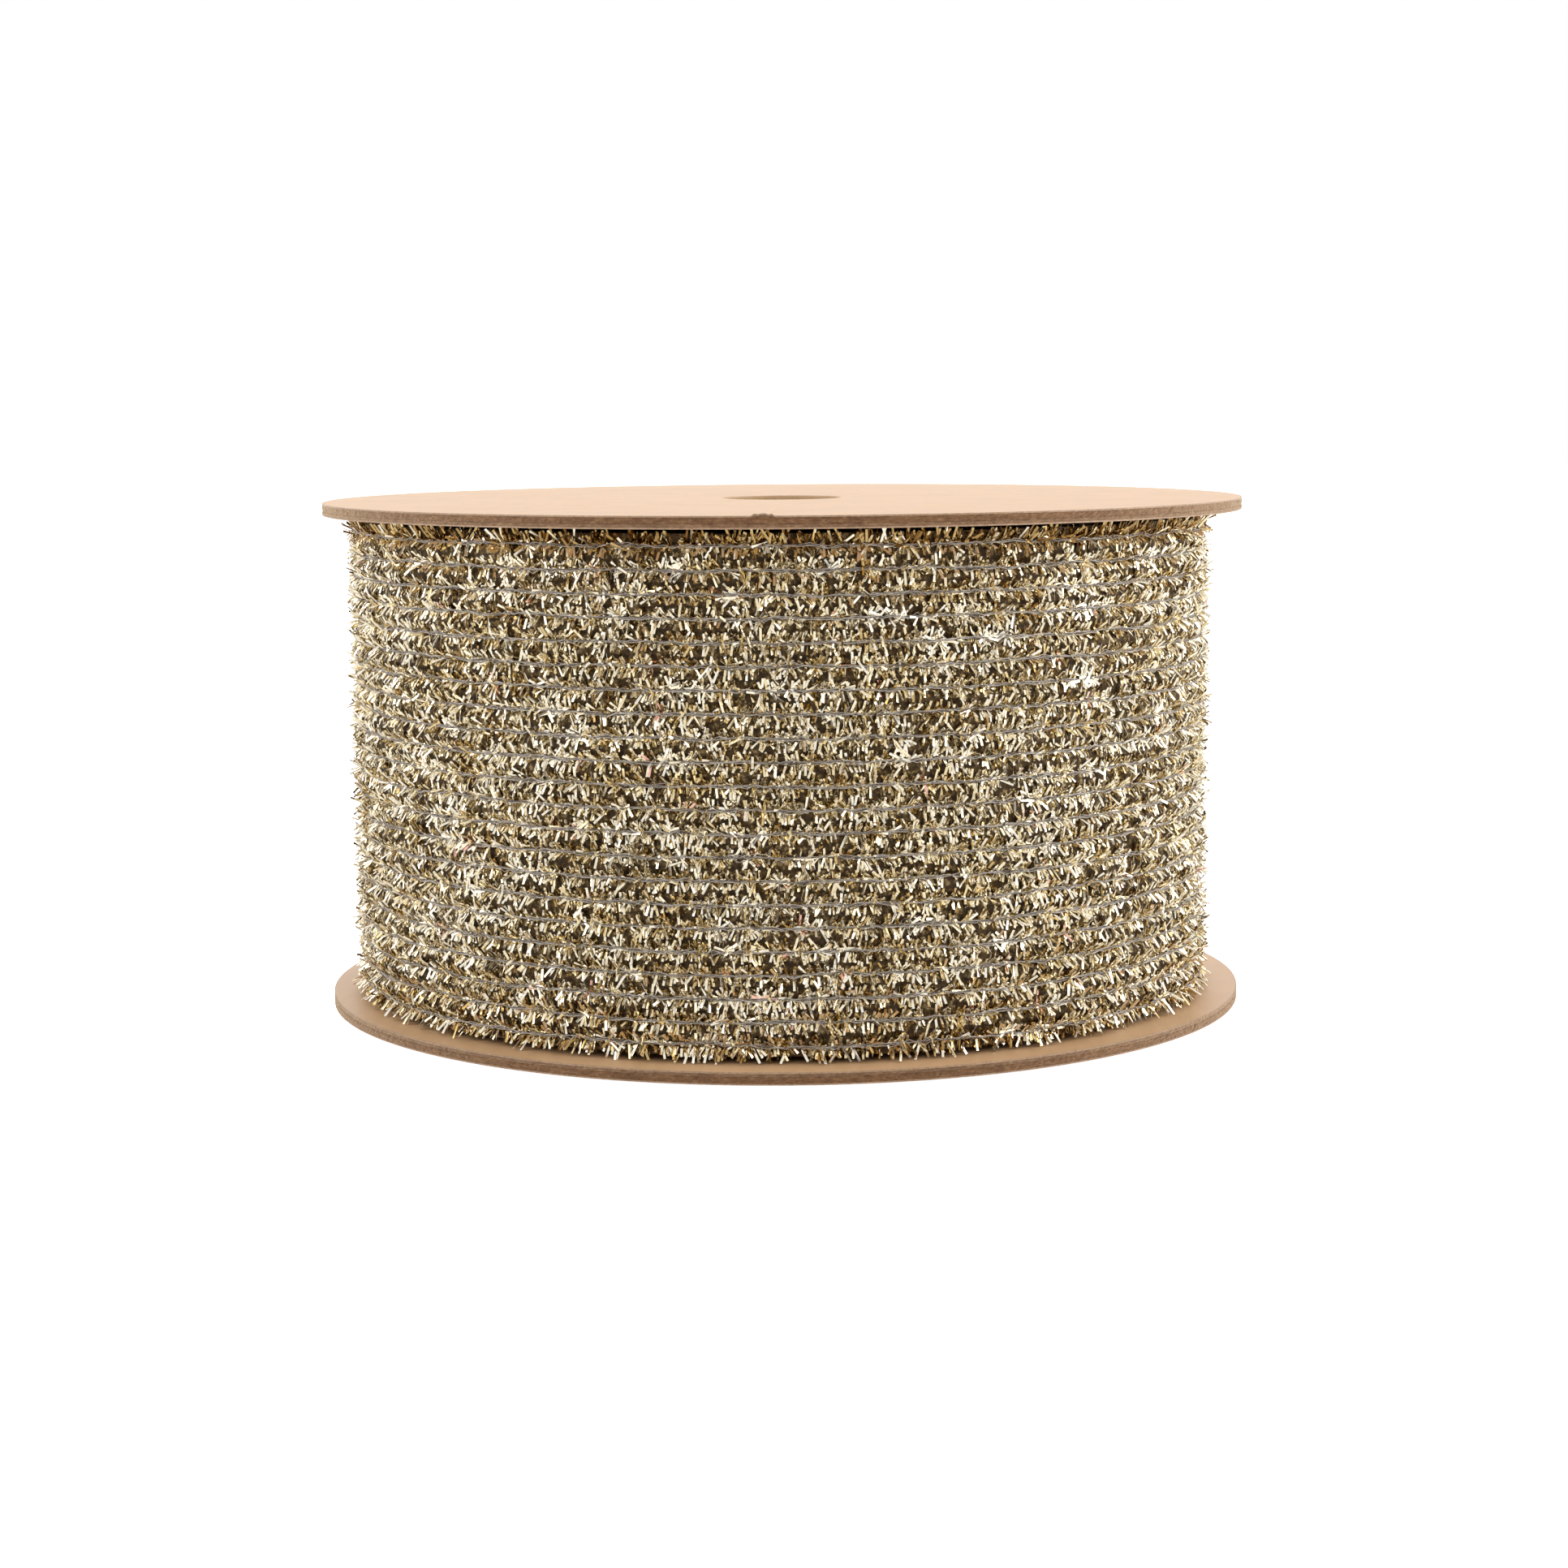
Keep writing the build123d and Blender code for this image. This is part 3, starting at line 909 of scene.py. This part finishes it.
# %% Backing material
def backing_net():
    """Knitted net whose dark gold is partly painted shade of the deep pile, with painted glints of film."""
    material, nodes, links, shader = new_material("backing net")
    place = object_coordinates(nodes)
    knit = add_noise(nodes, links, place, 1500, 3)
    wave = nodes.new("ShaderNodeTexWave")
    wave.bands_direction = "Z"
    wave.inputs["Scale"].default_value = 320.0
    wave.inputs["Distortion"].default_value = 3.0
    wave.inputs["Detail Scale"].default_value = 4.0
    links.new(place, wave.inputs["Vector"])
    # The near-black browns are partly painted shade of the deep pile, and the light stop is painted glints
    # of film.
    tone = add_ramp(nodes, links, knit, [
        (0.35, (0.05, 0.027, 0.008)),
        (0.55, (0.13, 0.080, 0.030)),
        (0.72, (0.60, 0.44, 0.21)),
    ])
    lines = add_ramp(nodes, links, wave.outputs["Fac"], [(0.2, (0.55, 0.52, 0.48)), (0.7, (1, 1, 1))])
    colour = mix_colours(nodes, links, 0.8, tone, lines, "MULTIPLY")
    links.new(colour, shader.inputs["Base Color"])
    rough = nodes.new("ShaderNodeMapRange")
    rough.inputs["To Min"].default_value = 0.35
    rough.inputs["To Max"].default_value = 0.65
    links.new(knit, rough.inputs["Value"])
    links.new(rough.outputs["Result"], shader.inputs["Roughness"])
    shader.inputs["Metallic"].default_value = 0.6
    add_bump(nodes, links, shader, knit, 0.6, 0.0001)
    return material


net_and_pile_shade = backing_net()


# %% Backing sheets
def backing_sheet(name, first, last, columns, lines):
    """A thin sheet round the spiral, modelled as a grid and thickened by Solidify."""
    deselect()
    bpy.ops.mesh.primitive_grid_add(x_subdivisions=columns, y_subdivisions=lines, size=2)
    sheet = bpy.context.object
    sheet.name = name
    flat = np.array([v.co for v in sheet.data.vertices])
    sweep = first + (flat[:, 0] + 1) / 2 * (last - first)
    middle = (row_levels[0] + row_levels[-1]) / 2
    half_width = (row_levels[0] - row_levels[-1] + row_pitch) / 2
    depth = ribbon_depth - 0.3 * MM
    points = path_point(sweep, depth, middle + flat[:, 1] * half_width)
    sheet.data.vertices.foreach_set("co", points.astype(np.float32).ravel())
    sheet.data.update()
    bpy.ops.object.mode_set(mode="EDIT")
    bpy.ops.mesh.select_all(action="SELECT")
    bpy.ops.mesh.normals_make_consistent(inside=False)
    bpy.ops.object.mode_set(mode="OBJECT")
    thick = sheet.modifiers.new("thickness", "SOLIDIFY")
    thick.thickness = 0.2 * MM
    thick.offset = 0.0
    bpy.ops.object.modifier_apply(modifier=thick.name)
    sheet.data.materials.append(net_and_pile_shade)
    return sheet


backing = backing_sheet("outer_turn_backing", peel_sweep, turn_end_sweep, 240, 22)
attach(backing, "spool")
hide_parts("outer_turn_web")


# %% [markdown]
# ## The loose end
# The last 70 mm of the ribbon can be peeled off the roll. On the real thing it bends over its first
# centimetre. Here its pieces lie on the roll's spiral, with their places baked into their meshes.

# %% Pieces of the loose end
peel_start = path_point(peel_sweep, 0.0, 0.0)
peel_finish = path_point(peel_sweep - 13 * MM * degrees_per_metre, 0.0, 0.0)


def peels(piece, node):
    """Bakes a piece's place into its mesh and lets it stand for a CAD node."""
    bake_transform(piece)
    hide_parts(node)


for half, rows in (("upper", range(0, 11)), ("lower", range(11, 22))):
    crowds = []
    for number in rows:
        rng = np.random.default_rng(300 + number)
        rim = rim_rows.get(number, {})
        level = row_levels[number]
        crowds.append(sliver_crowd(rng, 0.0, peel_sweep, level, slivers_per_mm, lifted, **rim))
        crowds.append(sliver_crowd(rng, 0.0, peel_sweep, level, 1.6, 3.0, 1.42 * MM, -1.0))
    tinsel = crowd_object("loose_end_tinsel_" + half, crowds)
    peels(tinsel, "loose_end_rows")
    print(tinsel.name, 2 * len(tinsel.data.polygons), "triangles")

end_backing = backing_sheet("loose_end_backing", 0.0, peel_sweep, 48, 22)
peels(end_backing, "loose_end_web")

parts = []
for number, level in enumerate(row_levels):
    fray = np.random.default_rng(700 + number).uniform(-2.6, -0.4)
    parts += cord_parts(900 + number, fray, peel_sweep, level)
end_cords = joined("loose_end_binding_cords", parts, cord_materials)
peels(end_cords, "loose_end_cords")


# %% [markdown]
# ## What the core keeps inside
# The core, its glue and the inner turns keep their CAD shapes. Only the core's liner shows, through
# the arbor hole, but every one of them gets a finish of its own for a view of the parts.

# %% Materials of the inner parts
def plain_pulp(name, low, high, roughness):
    """A quiet two-tone material for parts that hardly show."""
    material, nodes, links, shader = new_material(name)
    place = object_coordinates(nodes)
    cloud = add_noise(nodes, links, place, 400, 4)
    links.new(add_ramp(nodes, links, cloud, [(0.3, low), (0.7, high)]), shader.inputs["Base Color"])
    shader.inputs["Roughness"].default_value = roughness
    add_bump(nodes, links, shader, cloud, 0.3, 0.00005)
    return material


core_paper = plain_pulp("core paper", (0.50, 0.37, 0.24), (0.60, 0.46, 0.31), 0.8)
core_board = plain_pulp("core board", (0.26, 0.19, 0.13), (0.36, 0.27, 0.19), 0.9)
dried_glue = plain_pulp("dried glue", (0.66, 0.60, 0.48), (0.80, 0.76, 0.66), 0.35)
tape = plain_pulp("double sided tape", (0.70, 0.64, 0.50), (0.80, 0.75, 0.62), 0.25)
cad_finishes = {
    "core_wrap": core_paper,
    "core_liner": core_paper,
    "core_body": core_board,
    "bottom_glue_ring": dried_glue,
    "top_glue_ring": dried_glue,
    "start_tape": tape,
    "ribbon_inner_turns": net_and_pile_shade,
}
for name, material in cad_finishes.items():
    slots = frame["nodes"][name].material_slots
    for slot in slots:
        slot.material = material
print("CAD finishes", len(cad_finishes))

# %% Count the triangles
total = sum(len(p.vertices) - 2 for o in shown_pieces() for p in o.data.polygons)
print("triangles", total)
